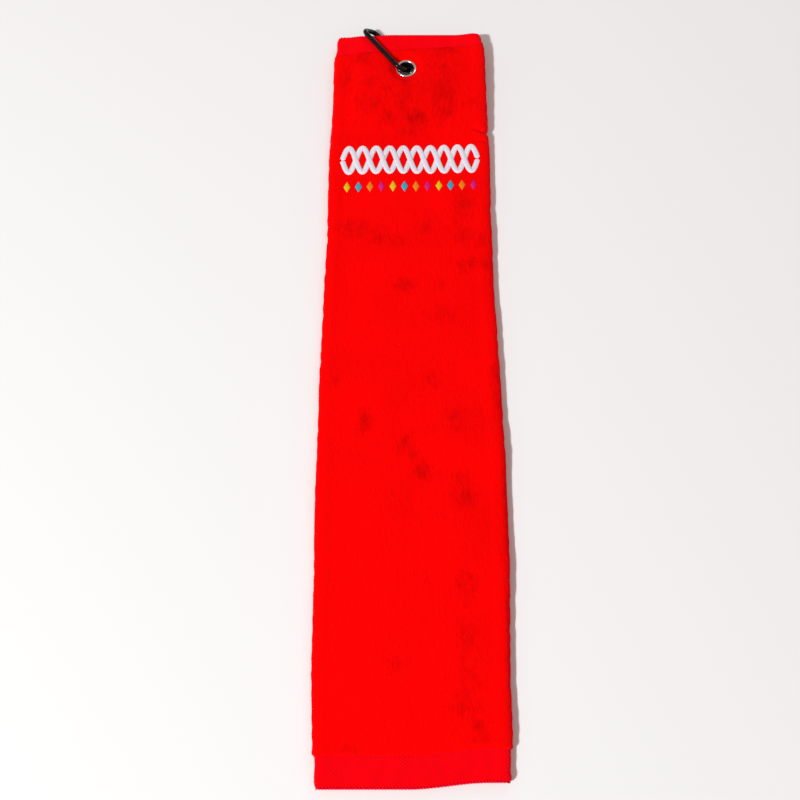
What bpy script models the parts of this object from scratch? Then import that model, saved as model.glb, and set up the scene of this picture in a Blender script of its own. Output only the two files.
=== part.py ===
"""Golf towel: one woven sheet folded in three, with a grommet and a snap carabiner.

Metres, +Z up. The towel lies face up on z = 0 with its length along Y and the
grommet at +Y. The origin is the bottom centre of the whole object's box.
"""

import math

import bmesh
import bpy
from mathutils import Matrix, Vector

# Folded sheet
towel_length = 0.600
width_low = 0.1375  # folded width over the lower part
width_high = 0.126  # folded width at the grommet end
taper_start = 0.200  # from the bottom edge
taper_end = 0.020  # from the top edge
cloth_thickness = 0.0024
layer_gap = 0.0003
lift_run = 0.055  # length over which the cloth rises onto the carabiner
left_fold_steps = 6
right_fold_steps = 8
taper_rows = 4
lift_rows = 5

# Hems: flat woven, thinner than the pile
bottom_hem = 0.021
top_hem = 0.016
side_hem = 0.009
hem_step = 0.002  # the slope from the hem up to the pile
hem_share = 0.55  # hem thickness as a share of the cloth's
hem_inset = 0.0014  # how far the hems stand in from the folds
inner_flap_inset = 0.0013  # free edge short of the right fold's centre
outer_flap_overlap = 0.0005  # free edge past the left fold's centre
thread_radius = 0.0002
thread_gap = 0.00012
hem_seam_inset = 0.002  # seam from the hem's inner edge

# Grommet
grommet_x = -0.003
grommet_setback = 0.0335  # centre from the top edge
squeeze_share = 0.46  # how far the grommet presses the cloth together
barrel_wall = 0.0006
rim_round = 0.00021  # taken off the grommet's corners
flange_width = 0.0022  # from the throat out
flange_thickness = 0.0007
curl_width = 0.0020
curl_thickness = 0.0006
throat_bell = 0.0011  # how far the throat opens at each mouth
bell_share = 0.35  # of that opening, where the bell is at its steepest
bell_setback = 0.00028  # that place, in from the front face
curl_bulge = 0.00055  # the curl's inner corner, out from the barrel
washer_play = 0.0004  # round the curl's neck, past the hole in the cloth
pad_margin = 0.002  # flat cloth past the flange
pad_slope = 0.0045  # cloth rising from that flat to its full height

# Carabiner
wire_diameter = 0.004
bend_radius = 0.006  # on the wire's centre line
ring_lean = math.radians(45)  # the ring's plane down from the table's
ring_turn = math.radians(38.5)  # the spine's direction, from +Y towards -X
throat_play = 0.0013
edge_play = 0.0016  # wire to the towel's top edge, on its straight run
hinge_land = 0.0005  # straight wire between the bend and the gate's hinge
nose_land = 0.006  # straight wire between the bend and the gate's tip
tab_thickness = 0.0014
tab_inset = 0.0003  # tab's edge in from the wire's side
tab_root = 0.0012  # how far each tab runs into the round wire
hook_wall = 0.0011  # hook past the latch pin's notch
cam_inset = 0.0001  # hinge tab's round end, in from the wire's side
cam_step = 0.00025  # depth of the flat on that round end
pin_radius = 0.0006
pin_gap = 0.00015
tip_length = 0.0018  # gate past its latch pin
bore_wall = 0.0008  # gate's wall round its spring
bore_depth = 0.012
plunger_length = 0.003
spring_wire_radius = 0.00016
spring_turns = 7

# Embroidery
braid_length = 0.1096
braid_height = 0.027
braid_below_top = 0.1205
braid_waves = 5
stroke_width = 0.0044
stitch_thickness = 0.0006
diamond_count = 12
diamond_pitch = 0.0092
diamond_width = 0.0052
diamond_height = 0.0092
diamond_below_top = 0.1452

# Clearance between pieces that rest on each other
seat_gap = 0.0003

# Fineness of the round shapes
sharp_angle = math.radians(35)
weld_distance = 0.00001
turned_steps = 40
bar_segments = 24
heel_segments = 32
cam_steps = 8
pin_segments = 16
plunger_segments = 20
coil_steps = 12
wave_steps = 20

# Worked out from the values above
bottom_seam = bottom_hem - hem_seam_inset
top_seam = towel_length - top_hem + hem_seam_inset
wire_radius = wire_diameter / 2
tab_width = wire_diameter - 2 * tab_inset
cam_radius = wire_radius - cam_inset
cam_flat = cam_radius - cam_step
bore_radius = wire_radius - bore_wall
plunger_radius = bore_radius - seat_gap
layer_pitch = cloth_thickness + layer_gap
stack_height = 2 * layer_pitch + cloth_thickness
lift_height = wire_diameter + seat_gap
stack_middle = lift_height + stack_height / 2
spine_height = lift_height + stack_height + seat_gap + wire_radius
ring_width = (spine_height - wire_radius) / math.sin(ring_lean)
squeezed_half = squeeze_share * stack_height / 2
flange_under = squeezed_half + seat_gap
flange_top = flange_under + flange_thickness
curl_top = flange_top + seat_gap
curl_bottom = curl_top + curl_thickness
throat_radius = wire_radius / math.sin(ring_lean) + flange_under / math.tan(ring_lean) + throat_play
barrel_radius = throat_radius + barrel_wall
cloth_hole_radius = barrel_radius + seat_gap
flange_radius = throat_radius + flange_width
pad_flat = flange_radius + pad_margin
pad_full = pad_flat + pad_slope

# The ring reaches from the throat to just past the towel's top edge.
edge_rise = layer_pitch + hem_share * cloth_thickness / 2
edge_offset = edge_rise / math.tan(ring_lean) * math.sin(ring_turn)
wire_reach = math.hypot(
    wire_radius / math.sin(ring_lean) * math.sin(ring_turn), wire_radius * math.cos(ring_turn)
)
ring_length = (grommet_setback + edge_offset + wire_reach + edge_play) / math.cos(ring_turn)
hinge_shoulder = ring_length - bend_radius - hinge_land
pivot_along = hinge_shoulder - wire_radius - seat_gap
nose_shoulder = bend_radius + nose_land
latch_along = nose_shoulder + seat_gap + tip_length
gate_reach = pivot_along - latch_along

# The box's far end is the bend at the gate's hinge, so the origin is halfway to it.
lean_share = math.cos(ring_lean) * math.sin(ring_turn)  # how far the ring's width carries it along Y
ring_overhang = (
    (ring_width / 2 - bend_radius) * lean_share
    + (ring_length - bend_radius) * math.cos(ring_turn)
    + bend_radius * math.hypot(lean_share, math.cos(ring_turn))
    + wire_radius - grommet_setback
)
top_y = (towel_length - ring_overhang) / 2
bottom_y = top_y - towel_length
grommet_y = top_y - grommet_setback


def new_collection(name):
    collection = bpy.data.collections.new(name)
    bpy.context.scene.collection.children.link(collection)
    return collection


def new_material(name, colour, roughness, metallic=0.0):
    material = bpy.data.materials.new(name)
    material.use_nodes = True
    shader = material.node_tree.nodes["Principled BSDF"]
    shader.inputs["Base Color"].default_value = (*colour, 1.0)
    shader.inputs["Roughness"].default_value = roughness
    shader.inputs["Metallic"].default_value = metallic
    return material


def new_empty(name, location, rotation=(0.0, 0.0, 0.0), parent=None):
    empty = bpy.data.objects.new(name, None)
    empty.location = location
    empty.rotation_euler = rotation
    empty.parent = parent
    pieces.objects.link(empty)
    return empty


def new_object(name, mesh, material=None, parent=None):
    """Links a mesh as a piece, or as a cutter where it has no material."""
    thing = bpy.data.objects.new(name, mesh)
    thing.parent = parent
    if material is None:
        cutters.objects.link(thing)
        thing.display_type = "WIRE"
        thing.hide_render = True
    else:
        pieces.objects.link(thing)
        mesh.materials.append(material)
        mesh.shade_smooth()
        mesh.set_sharp_from_angle(angle=sharp_angle)
    return thing


def box_mesh(name, low, high):
    """A box between two corners."""
    shape = bmesh.new()
    size = [b - a for a, b in zip(low, high)]
    middle = [(a + b) / 2 for a, b in zip(low, high)]
    bmesh.ops.create_cube(shape, size=1.0, matrix=Matrix.LocRotScale(middle, None, size))
    return to_mesh(name, shape)


def rod_mesh(name, radius, start, end, segments=bar_segments):
    """A round bar between two points."""
    start, end = Vector(start), Vector(end)
    turn = (end - start).to_track_quat("Z", "Y")
    shape = bmesh.new()
    bmesh.ops.create_cone(
        shape, cap_ends=True, segments=segments, radius1=radius, radius2=radius,
        depth=(end - start).length, matrix=Matrix.LocRotScale((start + end) / 2, turn, None),
    )
    return to_mesh(name, shape)


def to_mesh(name, shape):
    mesh = bpy.data.meshes.new(name)
    shape.to_mesh(mesh)
    shape.free()
    return mesh


def combine(target, operation, mesh, parent=None):
    """Adds a Boolean on the target with a helper solid made from the mesh."""
    helper = new_object(mesh.name, mesh, parent=parent)
    modifier = target.modifiers.new(mesh.name, "BOOLEAN")
    modifier.operation = operation
    modifier.object = helper


def wire_mesh(name, points, radius, bevel_resolution):
    """A round wire along the points."""
    curve = bpy.data.curves.new(name, "CURVE")
    curve.dimensions = "3D"
    curve.bevel_depth = radius
    curve.bevel_resolution = bevel_resolution
    curve.use_fill_caps = True
    return curve_mesh(name, curve, points)


def plate_mesh(name, outline, thickness):
    """A flat plate with the outline, its middle at z = 0."""
    curve = bpy.data.curves.new(name, "CURVE")
    curve.dimensions = "2D"
    curve.fill_mode = "BOTH"
    curve.extrude = thickness / 2
    return curve_mesh(name, curve, [(x, y, 0.0) for x, y in outline], closed=True)


def curve_mesh(name, curve, points, closed=False):
    """The curve's shape along the points, as one welded mesh."""
    spline = curve.splines.new("POLY")
    spline.points.add(len(points) - 1)
    for place, point in zip(spline.points, points):
        place.co = (*point, 1.0)
    spline.use_cyclic_u = closed
    holder = bpy.data.objects.new(name, curve)
    bpy.context.scene.collection.objects.link(holder)
    bpy.context.view_layer.update()
    evaluated = holder.evaluated_get(bpy.context.evaluated_depsgraph_get())
    mesh = bpy.data.meshes.new_from_object(evaluated)
    bpy.data.objects.remove(holder)
    bpy.data.curves.remove(curve)
    shape = bmesh.new()
    shape.from_mesh(mesh)
    bmesh.ops.remove_doubles(shape, verts=shape.verts, dist=weld_distance)
    bmesh.ops.recalc_face_normals(shape, faces=shape.faces)
    shape.to_mesh(mesh)
    shape.free()
    return mesh


def turned_mesh(name, profile):
    """A closed profile of (radius, height) corners, as a wire loop to be screwed."""
    mesh = bpy.data.meshes.new(name)
    edges = [(i, (i + 1) % len(profile)) for i in range(len(profile))]
    mesh.from_pydata([(r, 0.0, z) for r, z in profile], edges, [])
    return mesh


def add_screw(thing):
    modifier = thing.modifiers.new("Turned", "SCREW")
    modifier.steps = modifier.render_steps = turned_steps
    modifier.use_merge_vertices = True
    modifier.merge_threshold = weld_distance
    modifier.use_normal_calculate = True


def smoothstep(share):
    share = min(max(share, 0.0), 1.0)
    return share * share * (3 - 2 * share)


# The folded sheet's surface, with y from the towel's bottom edge

def in_hem(y):
    return y <= bottom_hem or y >= towel_length - top_hem


def half_width(y):
    """Half the folded width: wide low down, narrower at the grommet."""
    span = towel_length - taper_end - taper_start
    width = width_low - (width_low - width_high) * smoothstep((y - taper_start) / span)
    return width / 2 - (hem_inset if in_hem(y) else 0.0)


def lift_at(y):
    """The cloth rises over the carabiner's back bar."""
    full = towel_length - grommet_setback - pad_full
    return lift_height * smoothstep((y - full + lift_run) / lift_run)


def squeeze_at(x, y):
    """1 where the cloth is full, less where the grommet presses it."""
    away = max(abs(x - grommet_x), abs(y - (towel_length - grommet_setback)))
    share = min(max((away - pad_flat) / pad_slope, 0.0), 1.0)
    return squeeze_share + (1 - squeeze_share) * share


def section(y):
    """The sheet's middle line across the towel, as (x, height, thickness share)."""
    half = half_width(y)
    left = -half + layer_pitch / 2 + cloth_thickness / 2
    right = half - layer_pitch - cloth_thickness / 2
    low, middle, high = (cloth_thickness / 2 + k * layer_pitch for k in range(3))
    pad = [grommet_x + side for side in (-pad_full, -pad_flat, pad_flat, pad_full)]
    inner = right - inner_flap_inset
    outer = left - outer_flap_overlap
    line = [(inner, middle, hem_share), (inner - side_hem, middle, hem_share)]
    line += [(inner - side_hem - hem_step, middle, 1.0)]
    line += [(x, middle, 1.0) for x in reversed(pad)]
    for step in range(left_fold_steps + 1):
        angle = -math.pi / 2 - math.pi * step / left_fold_steps
        x = left + layer_pitch / 2 * math.cos(angle)
        line.append((x, (middle + high) / 2 + layer_pitch / 2 * math.sin(angle), 1.0))
    line += [(x, high, 1.0) for x in pad]
    for step in range(right_fold_steps + 1):
        angle = math.pi / 2 - math.pi * step / right_fold_steps
        line.append((right + layer_pitch * math.cos(angle), middle + layer_pitch * math.sin(angle), 1.0))
    line += [(x, low, 1.0) for x in reversed(pad)]
    line += [(outer + side_hem + hem_step, low, 1.0)]
    line += [(outer + side_hem, low, hem_share), (outer, low, hem_share)]
    return line


def sheet_rows():
    """Distances from the bottom edge at which the sheet has a row of points."""
    centre = towel_length - grommet_setback
    full = centre - pad_full
    rows = [0.0, bottom_seam, bottom_hem, bottom_hem + hem_step]
    straight = full - lift_run - taper_start
    rows += [taper_start + straight * k / taper_rows for k in range(taper_rows + 1)]
    rows += [full - lift_run * (1 - k / lift_rows) for k in range(1, lift_rows + 1)]
    rows += [centre - pad_flat, centre + pad_flat, centre + pad_full]
    rows += [towel_length - top_hem - hem_step, towel_length - top_hem, top_seam, towel_length]
    return sorted(rows)


def place(x, y, height):
    """A point of the folded stack, in the object's frame."""
    squeezed = stack_height / 2 + (height - stack_height / 2) * squeeze_at(x, y)
    return Vector((x, bottom_y + y, lift_at(y) + squeezed))


# Clear the scene, then make the collections and the materials
for leftover in list(bpy.data.objects):
    bpy.data.objects.remove(leftover)
pieces = new_collection("golf_towel")
cutters = new_collection("golf_towel_cutters")

red_velour = new_material("red_velour", (0.80, 0.0, 0.0), 0.95)
red_thread = new_material("red_thread", (0.62, 0.0, 0.01), 0.6)
nickel = new_material("nickel", (0.78, 0.75, 0.69), 0.22, 1.0)
black_gloss = new_material("black_gloss", (0.012, 0.012, 0.013), 0.18)
spring_steel = new_material("spring_steel", (0.45, 0.45, 0.46), 0.3, 1.0)
white_stitch = new_material("white_stitch", (0.86, 0.86, 0.85), 0.5)
stitch_colours = {
    "yellow": (0.90, 0.68, 0.04), "cyan": (0.05, 0.50, 0.74),
    "orange": (0.88, 0.28, 0.03), "magenta": (0.74, 0.05, 0.36),
}
accent_stitch = {
    name: new_material(name + "_stitch", colour, 0.5) for name, colour in stitch_colours.items()
}

# Towel sheet: a flat grid laid along the folded section, thickened, then punched
rows = sheet_rows()
columns = len(section(0.0))
grid = bmesh.new()
bmesh.ops.create_grid(grid, x_segments=columns - 1, y_segments=len(rows) - 1, size=1.0)
grid.verts.ensure_lookup_table()
shares = []
for index, vertex in enumerate(grid.verts):
    y = rows[index // columns]
    x, height, share = section(y)[index % columns]
    vertex.co = place(x, y, height)
    shares.append((hem_share if in_hem(y) else share) * squeeze_at(x, y))
towel_sheet = new_object("towel_sheet", to_mesh("towel_sheet", grid), red_velour)
thickness_group = towel_sheet.vertex_groups.new(name="thickness")
for index, share in enumerate(shares):
    thickness_group.add([index], share, "REPLACE")
solidify = towel_sheet.modifiers.new("Cloth", "SOLIDIFY")
solidify.thickness = cloth_thickness
solidify.offset = 0.0
solidify.use_even_offset = True
solidify.vertex_group = thickness_group.name
punch = rod_mesh(
    "punch", cloth_hole_radius, (grommet_x, grommet_y, stack_middle - stack_height),
    (grommet_x, grommet_y, stack_middle + stack_height), turned_steps,
)
combine(towel_sheet, "DIFFERENCE", punch)

# Hem seams: one thread across each end and one along each side edge
thread_offset = hem_share * cloth_thickness / 2 + thread_gap + thread_radius


def cross_seam(y):
    """The thread's path round the folded section, on the sheet's outer face."""
    line = [place(x, y, height) for x, height, _ in section(y)]
    path = []
    for index, point in enumerate(line):
        ahead = line[min(index + 1, len(line) - 1)]
        behind = line[max(index - 1, 0)]
        along = (ahead - behind).normalized()
        path.append(point + thread_offset * Vector((0, 1, 0)).cross(along) * -1.0)
    return path


def side_seam(column):
    """The thread's path along a side hem, on its lower face."""
    path = []
    start = bottom_hem + hem_step
    end = towel_length - top_hem - hem_step
    for y in [row for row in sheet_rows() if start <= row <= end]:
        edge, height, _ = section(y)[column]
        seam = section(y)[1 if column == 0 else -2][0]
        x = seam + (edge - seam) * hem_seam_inset / side_hem
        path.append(place(x, y, height) - Vector((0, 0, thread_offset)))
    return path


seam_paths = {
    "bottom_hem_thread": cross_seam(bottom_seam),
    "top_hem_thread": cross_seam(top_seam),
    "side_hem_thread_inner": side_seam(0),
    "side_hem_thread_outer": side_seam(-1),
}
for name, path in seam_paths.items():
    new_object(name, wire_mesh(name, path, thread_radius, 1), red_thread)

# Grommet: an eyelet set through the cloth and curled over a washer behind
grommet_centre = (grommet_x, grommet_y, stack_middle)
bell = throat_radius + throat_bell
bell_waist = throat_radius + bell_share * throat_bell
curl_radius = throat_radius + curl_width
eyelet_profile = [
    (bell, flange_top), (bell_waist, flange_top - bell_setback),
    (throat_radius, flange_under - barrel_wall / 2), (throat_radius, -flange_under),
    (bell_waist, -curl_top), (bell, -curl_bottom + rim_round / 2),
    (bell + barrel_wall, -curl_bottom), (curl_radius - rim_round, -curl_bottom),
    (curl_radius, -curl_bottom + rim_round), (curl_radius, -curl_top),
    (barrel_radius + curl_bulge, -curl_top), (barrel_radius, -flange_top + rim_round),
    (barrel_radius, flange_under - rim_round), (barrel_radius + rim_round, flange_under),
    (flange_radius - rim_round, flange_under), (flange_radius, flange_under + rim_round),
    (flange_radius - rim_round / 2, flange_top - rim_round),
    (flange_radius - 2 * rim_round, flange_top),
]
grommet_eyelet = new_object("grommet_eyelet", turned_mesh("grommet_eyelet", eyelet_profile), nickel)
grommet_eyelet.location = grommet_centre
add_screw(grommet_eyelet)

washer_bore = cloth_hole_radius + washer_play
washer_profile = [
    (washer_bore, -flange_under), (washer_bore, -flange_top),
    (flange_radius - rim_round, -flange_top), (flange_radius, -flange_top + rim_round),
    (flange_radius, -flange_under - rim_round), (flange_radius - rim_round, -flange_under),
]
grommet_washer = new_object("grommet_washer", turned_mesh("grommet_washer", washer_profile), nickel)
grommet_washer.location = grommet_centre
add_screw(grommet_washer)

# Carabiner, made in its own plane: X from the spine to the gate, Y along them
swing_pivot = new_empty("swing_pivot", grommet_centre, (0.0, ring_lean, ring_turn))
gate_x = ring_width / 2
gate_pivot = new_empty("gate_pivot", (gate_x, pivot_along, 0.0), parent=swing_pivot)


def bend(centre_x, centre_y, first, steps=8):
    """A quarter bend of the wire, clockwise from the first angle."""
    angles = [math.radians(first - 90 * k / steps) for k in range(steps + 1)]
    return [
        (centre_x + bend_radius * math.cos(a), centre_y + bend_radius * math.sin(a), 0.0)
        for a in angles
    ]


inside = gate_x - bend_radius
far = ring_length - bend_radius
body_path = [(gate_x, nose_shoulder, 0.0)]
body_path += bend(inside, bend_radius, 0)
body_path += bend(-inside, bend_radius, -90)
body_path += bend(-inside, far, 180)
body_path += bend(inside, far, 90)
body_path += [(gate_x, hinge_shoulder, 0.0)]
carabiner_body = new_object(
    "carabiner_body", wire_mesh("carabiner_body", body_path, wire_radius, 6), black_gloss, swing_pivot
)
half_tab = tab_thickness / 2
# The hinge tab is a strip that swells into a round end with a flat for the plunger.
tab_end = hinge_shoulder + tab_root
arc_start = math.acos(tab_width / 2 / cam_radius)
arc_end = -math.asin(cam_flat / cam_radius)
arc = [arc_start + (arc_end - arc_start) * k / cam_steps for k in range(cam_steps + 1)]
half_outline = [(tab_width / 2, tab_end - pivot_along)]
half_outline += [(cam_radius * math.cos(angle), cam_radius * math.sin(angle)) for angle in arc]
outline = [(gate_x + x, pivot_along + y) for x, y in half_outline]
outline += [(gate_x - x, pivot_along + y) for x, y in reversed(half_outline)]
combine(carabiner_body, "UNION", plate_mesh("hinge_tab", outline, tab_thickness), swing_pivot)
pivot_hole = rod_mesh(
    "pivot_hole", pin_radius + pin_gap, (gate_x, pivot_along, -wire_radius),
    (gate_x, pivot_along, wire_radius), pin_segments,
)
combine(carabiner_body, "DIFFERENCE", pivot_hole, swing_pivot)

hook_end = latch_along + pin_radius + seat_gap + hook_wall
latch_tab = box_mesh(
    "latch_tab", (gate_x - tab_width / 2, nose_shoulder - tab_root, -half_tab),
    (gate_x + tab_width / 2, hook_end, half_tab),
)
combine(carabiner_body, "UNION", latch_tab, swing_pivot)
notch = box_mesh(
    "latch_notch", (gate_x - wire_diameter, latch_along - pin_radius - seat_gap, -wire_radius),
    (gate_x + pin_radius + seat_gap, latch_along + pin_radius + seat_gap, wire_radius),
)
combine(carabiner_body, "DIFFERENCE", notch, swing_pivot)

# Gate: a round bar, rounded at its pivot, slotted over both tabs and bored for the spring
gate_tip = -gate_reach - tip_length
carabiner_gate = new_object(
    "carabiner_gate", rod_mesh("carabiner_gate", wire_radius, (0, wire_diameter, 0), (0, gate_tip, 0)),
    black_gloss, gate_pivot,
)
heel = rod_mesh("heel", wire_radius, (0, 0, -wire_diameter), (0, 0, wire_diameter), heel_segments)
shank = box_mesh("shank", (-wire_diameter, 2 * gate_tip, -wire_diameter), (wire_diameter, 0, wire_diameter))
heel_shape = new_object("heel_shape", shank, parent=gate_pivot)
heel_helper = new_object("heel", heel, parent=gate_pivot)
heel_union = heel_shape.modifiers.new("heel", "BOOLEAN")
heel_union.operation = "UNION"
heel_union.object = heel_helper
heel_cut = carabiner_gate.modifiers.new("heel_shape", "BOOLEAN")
heel_cut.operation = "INTERSECT"
heel_cut.object = heel_shape

half_slot = half_tab + seat_gap
slot_floor = -cam_radius - seat_gap
hinge_slot = box_mesh(
    "hinge_slot", (-wire_diameter, slot_floor, -half_slot), (wire_diameter, wire_diameter, half_slot)
)
combine(carabiner_gate, "DIFFERENCE", hinge_slot, gate_pivot)
latch_floor = hook_end - pivot_along + seat_gap
latch_slot = box_mesh(
    "latch_slot", (-wire_diameter, gate_tip - wire_diameter, -half_slot),
    (wire_diameter, latch_floor, half_slot),
)
combine(carabiner_gate, "DIFFERENCE", latch_slot, gate_pivot)
spring_bore = rod_mesh("spring_bore", bore_radius, (0, 0, 0), (0, -bore_depth, 0))
combine(carabiner_gate, "DIFFERENCE", spring_bore, gate_pivot)
for name, along in (("pivot_seat", 0.0), ("latch_seat", -gate_reach)):
    seat = rod_mesh(
        name, pin_radius + pin_gap, (0, along, -wire_diameter), (0, along, wire_diameter), pin_segments
    )
    combine(carabiner_gate, "DIFFERENCE", seat, gate_pivot)

pin_length = 2 * math.sqrt(wire_radius**2 - pin_radius**2)
for name, along in (("gate_pivot_pin", 0.0), ("gate_latch_pin", -gate_reach)):
    pin = rod_mesh(
        name, pin_radius, (0, along, -pin_length / 2), (0, along, pin_length / 2), pin_segments
    )
    new_object(name, pin, spring_steel, gate_pivot)

plunger_top = -cam_flat - seat_gap
plunger_foot = plunger_top - plunger_length
plunger = rod_mesh(
    "spring_plunger", plunger_radius, (0, plunger_top, 0), (0, plunger_foot, 0), plunger_segments
)
new_object("spring_plunger", plunger, spring_steel, gate_pivot)

coil_start = plunger_foot - seat_gap - spring_wire_radius
coil_end = -bore_depth + seat_gap + spring_wire_radius
coil_radius = plunger_radius - spring_wire_radius
coil_points = coil_steps * spring_turns
coil_path = []
for step in range(coil_points + 1):
    angle = 2 * math.pi * step / coil_steps
    along = coil_start + (coil_end - coil_start) * step / coil_points
    coil_path.append((coil_radius * math.cos(angle), along, coil_radius * math.sin(angle)))
new_object(
    "gate_spring", wire_mesh("gate_spring", coil_path, spring_wire_radius, 1), spring_steel, gate_pivot
)

# Embroidery: a braid of two crossing waves, and a row of small diamonds under it
stitch_base = stack_height + seat_gap


def wave_mesh(name, phase):
    """A flat ribbon along a sine wave."""
    steps = wave_steps * braid_waves
    reach = (braid_height - stroke_width) / 2
    turn = 2 * math.pi * braid_waves / braid_length
    shape = bmesh.new()
    bmesh.ops.create_grid(shape, x_segments=steps, y_segments=1, size=1.0)
    shape.verts.ensure_lookup_table()
    for index, vertex in enumerate(shape.verts):
        x = braid_length * (index % (steps + 1) / steps - 0.5)
        angle = turn * (x + braid_length / 2) + phase
        slope = Vector((1.0, reach * turn * math.cos(angle), 0.0)).normalized()
        side = stroke_width / 2 * (1 if index > steps else -1)
        vertex.co = (x - side * slope.y, reach * math.sin(angle) + side * slope.x, 0.0)
    return to_mesh(name, shape)


def thicken(thing):
    modifier = thing.modifiers.new("Stitches", "SOLIDIFY")
    modifier.thickness = stitch_thickness
    modifier.offset = 1.0
    modifier.use_even_offset = True


braid_place = (0.0, top_y - braid_below_top, stitch_base)
embroidered_braid = new_object("embroidered_braid", wave_mesh("embroidered_braid", 0.0), white_stitch)
embroidered_braid.location = braid_place
thicken(embroidered_braid)
second_wave = new_object("second_wave", wave_mesh("second_wave", math.pi))
second_wave.location = braid_place
thicken(second_wave)
braid_union = embroidered_braid.modifiers.new("second_wave", "BOOLEAN")
braid_union.operation = "UNION"
braid_union.object = second_wave

for number in range(diamond_count):
    colour = list(stitch_colours)[number % len(stitch_colours)]
    name = f"embroidered_diamond_{number + 1:02d}"
    shape = bmesh.new()
    bmesh.ops.create_cone(
        shape, cap_ends=True, segments=4, radius1=0.5, radius2=0.5, depth=stitch_thickness,
        matrix=Matrix.Diagonal((diamond_width, diamond_height, 1.0, 1.0)),
    )
    diamond = new_object(name, to_mesh(name, shape), accent_stitch[colour])
    along = (number - (diamond_count - 1) / 2) * diamond_pitch
    diamond.location = (along, top_y - diamond_below_top, stitch_base + stitch_thickness / 2)
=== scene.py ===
"""Looks of a tri-fold golf towel with its grommet and its snap carabiner, around the fixed frame.

Metres, in the frame's axes: +Z up from the table, +Y along the towel towards the grommet.
"""

import math

import bmesh
import bpy
import numpy as np
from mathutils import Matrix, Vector


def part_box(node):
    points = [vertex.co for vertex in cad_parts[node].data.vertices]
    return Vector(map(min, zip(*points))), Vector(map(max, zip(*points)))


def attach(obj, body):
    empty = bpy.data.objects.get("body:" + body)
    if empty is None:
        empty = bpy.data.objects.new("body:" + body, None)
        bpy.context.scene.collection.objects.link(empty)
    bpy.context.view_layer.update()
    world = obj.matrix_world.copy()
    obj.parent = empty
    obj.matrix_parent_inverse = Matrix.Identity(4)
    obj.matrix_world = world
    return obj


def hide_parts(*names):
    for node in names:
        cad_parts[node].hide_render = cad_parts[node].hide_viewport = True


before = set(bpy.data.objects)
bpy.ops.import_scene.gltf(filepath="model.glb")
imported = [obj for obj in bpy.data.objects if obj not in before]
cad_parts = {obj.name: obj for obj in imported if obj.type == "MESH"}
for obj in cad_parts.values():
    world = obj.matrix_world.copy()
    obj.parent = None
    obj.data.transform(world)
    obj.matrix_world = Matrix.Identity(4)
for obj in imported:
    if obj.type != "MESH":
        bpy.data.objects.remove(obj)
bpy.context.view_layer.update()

# Towel sheet. One piece of cotton velour terry, cut 400 x 600 mm, whose two sides are
# folded behind the middle third. The pile stops at flat twill hems along its four edges.
# The end with the grommet rises over the carabiner's gate, which lies under it.

sheet_low, sheet_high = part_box("towel_sheet")
eyelet_low, eyelet_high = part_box("grommet_eyelet")
grommet = (eyelet_low + eyelet_high) / 2
bottom_y = sheet_low.y
length = sheet_high.y - sheet_low.y
grommet_along = grommet.y - bottom_y
cloth = 0.0024  # thickness with its pile
layer_pitch = 0.0027  # from the middle of one layer to the next
stack = 2 * layer_pitch + cloth
lift = sheet_high.z - stack
lift_start, lift_end = 0.4966, 0.5516
bottom_hem, top_hem, side_hem = 0.0205, 0.0155, 0.009
hem_share = 0.55  # hem thickness as a share of the pile's
hem_inset = 0.0013  # the hems stand in from the fuller pile at the folds
pile_slope = 0.0016  # the pile's rise from the hem
wave_height, wave_size = 0.0008, 0.070
corner_lift = 0.0016  # of the right corner by the grommet
swept_reach = 0.052  # the carabiner swings over the front out to here
bottom_slant, top_step, top_drop = 0.0042, 0.0011, 0.0021
hem_slide, hem_slant = 0.0016, 0.066  # of the top hem's edge, at the middle and for each metre across
hole_radius, hole_reach = 0.0071, 0.015  # of the hole, and of the cloth that makes room for it
cut_reach = 0.003  # points this near to the hole's centre are left out
pad_radius, pad_slope = 0.0093, 0.0062  # cloth pressed flat round the grommet, then rising
pressed_share = 0.46  # of the stack's height
pucker_count, pucker_depth = 9, 0.045

# Places of the two folds, as distances from the bottom edge and from the middle line
left_line = [
    (0.0, 0.0664), (0.028, 0.0668), (0.070, 0.0687), (0.135, 0.0686), (0.180, 0.0694),
    (0.285, 0.0685), (0.350, 0.0672), (0.400, 0.0656), (0.480, 0.0655), (0.530, 0.0634),
    (0.575, 0.0631), (0.600, 0.0627),
]
right_line = [
    (0.0, 0.0672), (0.028, 0.0672), (0.075, 0.0671), (0.150, 0.0693), (0.215, 0.0690),
    (0.290, 0.0671), (0.365, 0.0644), (0.430, 0.0640), (0.490, 0.0646), (0.515, 0.0634),
    (0.575, 0.0627), (0.600, 0.0620),
]
left_notches = [(0.408, 0.0007, 0.004)]  # place, depth and reach
right_notches = [(0.5058, 0.0016, 0.0028), (0.4345, 0.0008, 0.004)]

# Creases in the front: start, end, depth and reach
creases = [
    ((0.0650, 0.5040), (0.0500, 0.5092), 0.0028, 0.0012),
    ((0.0650, 0.4960), (0.0480, 0.4990), 0.0010, 0.0016),
    ((0.0640, 0.4345), (0.0570, 0.4350), 0.0005, 0.0018),
    ((-0.0670, 0.4080), (-0.0590, 0.4090), 0.0004, 0.0020),
]

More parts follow.
